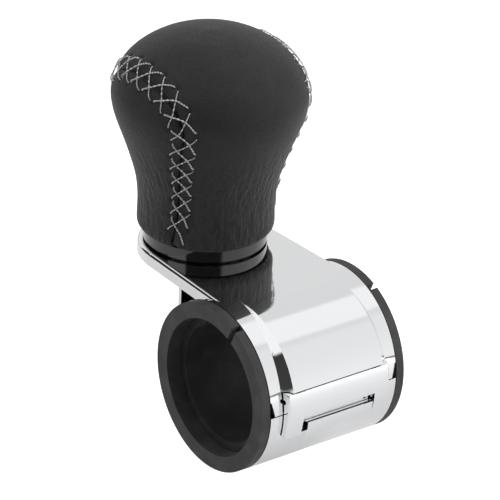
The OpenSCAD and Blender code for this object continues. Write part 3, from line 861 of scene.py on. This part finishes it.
@dataclass
class Lacing:
    """The laced thread: strands that cross the seam from hole to hole."""

    half: float = 3.0
    wide_half: float = 3.9
    shift: float = -0.8
    thick: float = 0.55
    thin: float = 0.42
    turns: float = 6.0
    points: int = 15
    over: tuple[tuple[float, float], ...] = (
        (-0.44, 1.0), (-0.14, 0.75), (0.17, 0.45), (0.59, -0.3), (0.79, -0.56), (0.95, -0.8))
    under: tuple[tuple[float, float], ...] = (
        (0.04, -1.0), (0.36, -0.7), (0.6, -0.3), (1.12, 0.42), (1.29, 0.72), (1.43, 1.0))

    def place(self, path: SeamPath, count: float, w: float, lift: float) -> Vector:
        """A point of the lacing.

        Args:
            path: The seam on the leather.
            count: Stitches from the foot.
            w: Share of the band's half width, from left to right.
            lift: Height over the leather.

        Returns:
            The point, in mm from the axis on the arm.
        """
        s = path.length_at(count)
        wide = min(max((path.at(s).z - 24.0) / 12.0, 0.0), 1.0)
        half = self.half + (self.wide_half - self.half) * wide
        return path.on_leather(s, self.shift * (1 - wide) - w * half, lift)

    def holes(self, path: SeamPath) -> np.ndarray:
        """Every needle hole, in mm from the axis on the arm."""
        spots = []
        for k in range(int(path.stitches) - 1):
            for count, w in (self.over[0], self.over[-1], self.under[0], self.under[-1]):
                if 0.1 < k + count < path.stitches - 0.1:
                    spots.append(tuple(self.place(path, k + count, w, 0.0)))
        return np.array(spots)

    def build(self, path: SeamPath, material: bpy.types.Material) -> bpy.types.Object:
        """Build every strand as one mesh.

        Args:
            path: The seam on the leather.
            material: The thread.

        Returns:
            The piece.
        """
        drawn = []
        for line, size, lift in ((self.over, self.thick, 0.42), (self.under, self.thin, 0.16)):
            curve = bpy.data.curves.new("lacing", "CURVE")
            curve.dimensions = "3D"
            for k in range(int(path.stitches) - 1):
                if k + line[0][0] > 0.1 and k + line[-1][0] < path.stitches - 0.1:
                    self._strand(curve, path, k, line, size, lift)
            curve.bevel_mode = "OBJECT"
            curve.bevel_object = self._yarn(size)
            curve.use_fill_caps = True
            strands = bpy.data.objects.new("lacing_curve", curve)
            bpy.context.scene.collection.objects.link(strands)
            drawn += [strands, curve.bevel_object]
        bpy.context.view_layer.update()
        shape = bmesh.new()
        graph = bpy.context.evaluated_depsgraph_get()
        for strands in drawn[::2]:
            shape.from_mesh(bpy.data.meshes.new_from_object(strands.evaluated_get(graph)))
        for spare in drawn:
            bpy.data.objects.remove(spare)
        for face in shape.faces:
            face.smooth = True
        mesh = bpy.data.meshes.new("laced_thread")
        shape.to_mesh(mesh)
        shape.free()
        piece = link("laced_thread", mesh, material)
        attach(piece, "knob")
        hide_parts("seam_thread")
        return piece

    @staticmethod
    def _yarn(size: float) -> bpy.types.Object:
        """Section of a thread of one size: three yarns side by side."""
        section = bpy.data.curves.new("yarn", "CURVE")
        spline = section.splines.new("POLY")
        count = 12
        spline.points.add(count - 1)
        for k, point in enumerate(spline.points):
            a = 2 * math.pi * k / count
            r = size / 2 * MM * (0.92 + 0.12 * math.cos(3 * a))
            point.co = (r * math.cos(a), r * math.sin(a), 0.0, 1.0)
        spline.use_cyclic_u = True
        yarn = bpy.data.objects.new("yarn", section)
        bpy.context.scene.collection.objects.link(yarn)
        return yarn

    def _strand(self, curve: bpy.types.Curve, path: SeamPath, first: int,
                line: tuple[tuple[float, float], ...], size: float, lift: float) -> None:
        """Add one strand.

        Args:
            curve: The curve that holds the strands.
            path: The seam on the leather.
            first: The stitch that it belongs to.
            line: Its way across the band.
            size: Its diameter.
            lift: Height of its middle over the leather.
        """
        spline = curve.splines.new("POLY")
        spline.points.add(self.points - 1)
        knots = np.array(line)
        share = np.linspace(0, 1, len(line))
        for k, point in enumerate(spline.points):
            t = k / (self.points - 1)
            rise = min(min(t, 1 - t) / 0.1, 1.0)
            count = float(np.interp(t, share, knots[:, 0])) + first
            w = float(np.interp(t, share, knots[:, 1]))
            place = self.place(path, count, w, -0.75 + (0.75 + lift) * rise)
            point.co = (*path.form.world(place), 1.0)
            point.tilt = 2 * math.pi * self.turns * t


@dataclass
class Lamp:
    """One soft box."""

    name: str
    azimuth_deg: float
    elevation_deg: float
    size: tuple[float, float]
    watts: float
    distance: float = 0.7


@dataclass
class Studio:
    """A pale table in a white room, with soft boxes and the photo's camera."""

    azimuth_deg: float = 51.86
    elevation_deg: float = 26.74
    roll_deg: float = 2.5
    lens_px: float = 4200.0
    px_per_mm: float = 3.735
    aim_mm: tuple[float, float, float] = (-8.757, 0.2, 29.788)
    aim_px: tuple[float, float] = (265.6, 253.3)
    floor_size: float = 6.0
    floor_drop: float = 14.5 * MM
    wall_light: float = 0.78
    spread_light: float = 0.3
    lamps: tuple[Lamp, ...] = (
        Lamp("left_box", -42.0, 28.0, (0.5, 0.7), 2.7),
        Lamp("right_box", 142.0, 24.0, (0.5, 0.7), 4.5),
        Lamp("top_box", 172.0, 66.0, (0.7, 0.4), 1.6),
    )

    @staticmethod
    def _towards(azimuth_deg: float, elevation_deg: float) -> Vector:
        """The direction from the object to something at an azimuth and an elevation."""
        a, e = math.radians(azimuth_deg), math.radians(elevation_deg)
        return Vector((math.sin(a) * math.cos(e), -math.cos(a) * math.cos(e), math.sin(e)))

    def camera(self) -> None:
        """Place the camera so that the aim point falls where the photo has it."""
        back = self._towards(self.azimuth_deg, self.elevation_deg)
        turn = (-back).to_track_quat("-Z", "Y").to_matrix() @ Matrix.Rotation(math.radians(self.roll_deg), 3, "Z")
        right, up = turn @ Vector((1.0, 0.0, 0.0)), turn @ Vector((0.0, 1.0, 0.0))
        half = IMAGE_PX / 2
        target = Vector(self.aim_mm) * MM
        target -= right * (self.aim_px[0] - half) / self.px_per_mm * MM
        target += up * (self.aim_px[1] - half) / self.px_per_mm * MM
        distance = self.lens_px / self.px_per_mm * MM
        data = bpy.data.cameras.new("camera")
        data.sensor_width = SENSOR_MM
        data.lens = self.lens_px / IMAGE_PX * SENSOR_MM
        data.clip_start, data.clip_end = 0.05, 50.0
        camera = bpy.data.objects.new("camera", data)
        camera.matrix_world = Matrix.Translation(target + back * distance) @ turn.to_4x4()
        bpy.context.scene.collection.objects.link(camera)
        bpy.context.scene.camera = camera

    def room(self) -> None:
        """White for the camera; in reflections pale walls, a box overhead and two dark screens before."""
        world = bpy.data.worlds.new("room")
        bpy.context.scene.world = world
        board = Board("room", world)
        way = board.node("ShaderNodeTexCoord").value("Generated")
        parts = board.node("ShaderNodeSeparateXYZ", None, {"Vector": way})
        x, y, z = (parts.value(axis) for axis in "XYZ")
        overhead = z.smooth(0.71, 0.77) * (1.0 - x.smooth(0.27, 0.37)) * x.smooth(-0.24, -0.14)
        rising = z.smooth(-0.1, 0.6)
        turn = x.maths("ARCTAN2", y * -1.0)
        beside = turn.smooth(0.3, 0.36) * (1.0 - turn.smooth(1.42, 1.58))
        before = turn.smooth(-1.35, -1.25) * (1.0 - turn.smooth(-0.34, -0.28))
        front = (beside + before) * (1.0 - z.smooth(0.54, 0.6))
        right = x.smooth(0.3, 0.5) * 0.1
        hood = (1.0 - y.smooth(-0.6, -0.5)) * 0.25
        walls = self.wall_light + overhead * 0.22 + right + hood + (1.0 - rising) * 0.08
        walls = walls * (1.0 - front * 0.96)
        rays = board.node("ShaderNodeLightPath")
        camera = rays.value("Is Camera Ray").maths("MAXIMUM", rays.value("Is Transmission Ray"))
        glossy = rays.value("Is Glossy Ray")
        lit = glossy * walls + (1.0 - glossy) * self.spread_light
        strength = camera + (1.0 - camera) * lit
        background = board.node("ShaderNodeBackground", None, {"Strength": strength})
        background.node.inputs["Color"].default_value = (1.0, 1.0, 1.0, 1.0)
        board.node("ShaderNodeOutputWorld", None, {"Surface": background.value()})

    def boxes(self) -> None:
        """Hang the soft boxes round the object."""
        middle = Vector(self.aim_mm) * MM
        for lamp in self.lamps:
            data = bpy.data.lights.new(lamp.name, "AREA")
            data.shape = "RECTANGLE"
            data.size, data.size_y = lamp.size
            data.energy = lamp.watts
            light = bpy.data.objects.new(lamp.name, data)
            way = self._towards(lamp.azimuth_deg, lamp.elevation_deg)
            turn = way.to_track_quat("Z", "Y").to_matrix().to_4x4()
            light.matrix_world = Matrix.Translation(middle + way * lamp.distance) @ turn
            light.visible_glossy = False
            bpy.context.scene.collection.objects.link(light)

    def floor(self, height: float) -> None:
        """Lay the pale floor, low enough for the open jaw.

        Args:
            height: The object's lowest point with the clamp closed.
        """
        shape = bmesh.new()
        bmesh.ops.create_grid(shape, x_segments=1, y_segments=1, size=self.floor_size / 2)
        bmesh.ops.translate(shape, verts=shape.verts, vec=(0.0, 0.0, height - self.floor_drop))
        mesh = bpy.data.meshes.new("floor")
        shape.to_mesh(mesh)
        shape.free()
        board = Board("pale_floor")
        rays = board.node("ShaderNodeLightPath")
        seen = rays.value("Is Camera Ray") * 0.55
        paint = board.node("ShaderNodeBsdfDiffuse", None, {"Color": (0.79, 0.79, 0.79, 1.0)}).value()
        glow = board.node("ShaderNodeEmission", None, {"Strength": seen}).value()
        both = board.node("ShaderNodeAddShader", None, {0: paint, 1: glow}).value()
        board.node("ShaderNodeOutputMaterial", None, {"Surface": both})
        link("floor", mesh, board.material)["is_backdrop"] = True

    def build(self, height: float) -> None:
        """Set the studio up.

        Args:
            height: The object's lowest point with the clamp closed.
        """
        bpy.context.scene.view_settings.view_transform = "Standard"
        self.room()
        self.boxes()
        self.floor(height)
        self.camera()


def main() -> None:
    """Build the knob's looks round the frame."""
    logging.basicConfig(level=logging.INFO, format="%(message)s")
    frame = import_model()
    cad_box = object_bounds()
    Studio().build(cad_box[0].z)
    chrome = ChromePlate().material()
    for node, body in (("upper_bracket", "clamp"), ("lower_jaw", "jaw"), ("latch_loop", "latch")):
        Casting(node, body).build(frame, chrome)
    form = KnobForm(frame)
    seam = Seam()
    path = SeamPath(form, seam)
    lacing = Lacing()
    holes = lacing.holes(path)
    leather = CharcoalLeather().material("charcoal_leather", form.axis.z + 26 * MM)
    LeatherPanel("leather_front", "leather_front_panel", True).build(form, seam, path, holes, leather)
    LeatherPanel("leather_back", "leather_back_panel", False).build(form, seam, path, holes, leather)
    lacing.build(path, WaxedThread().material())
    rubber = SleeveRubber().material()
    # painted shade: the inner sleeve, inside the outer one, takes a darker copy of the sleeve rubber
    shaded_inner = SleeveRubber((0.016, 0.016, 0.017), (0.026, 0.026, 0.027)).material("shaded_inner_rubber")
    gloss = GlossBlack().material()
    steel = PlainMetal().material()
    core = MouldedPlastic().material("moulded_core")
    bush = MouldedPlastic((0.6, 0.59, 0.55)).material("plain_bush")
    finishes = {
        rubber: ("outer_sleeve",),
        shaded_inner: ("inner_sleeve",),
        gloss: ("base_ring", "collar_ring"),
        steel: ("hinge_pin", "latch_pin", "spindle", "spindle_nut", "lock_washer", "retaining_washer", "lock_nut"),
        core: ("knob_core", "core_cap"),
        bush: ("thrust_washer", "lower_bush", "upper_bush"),
    }
    for material, names in finishes.items():
        for name in names:
            dress(frame["nodes"][name], material)
            log.info("%s: %s", name, material.name)


if __name__ == "__main__":
    main()
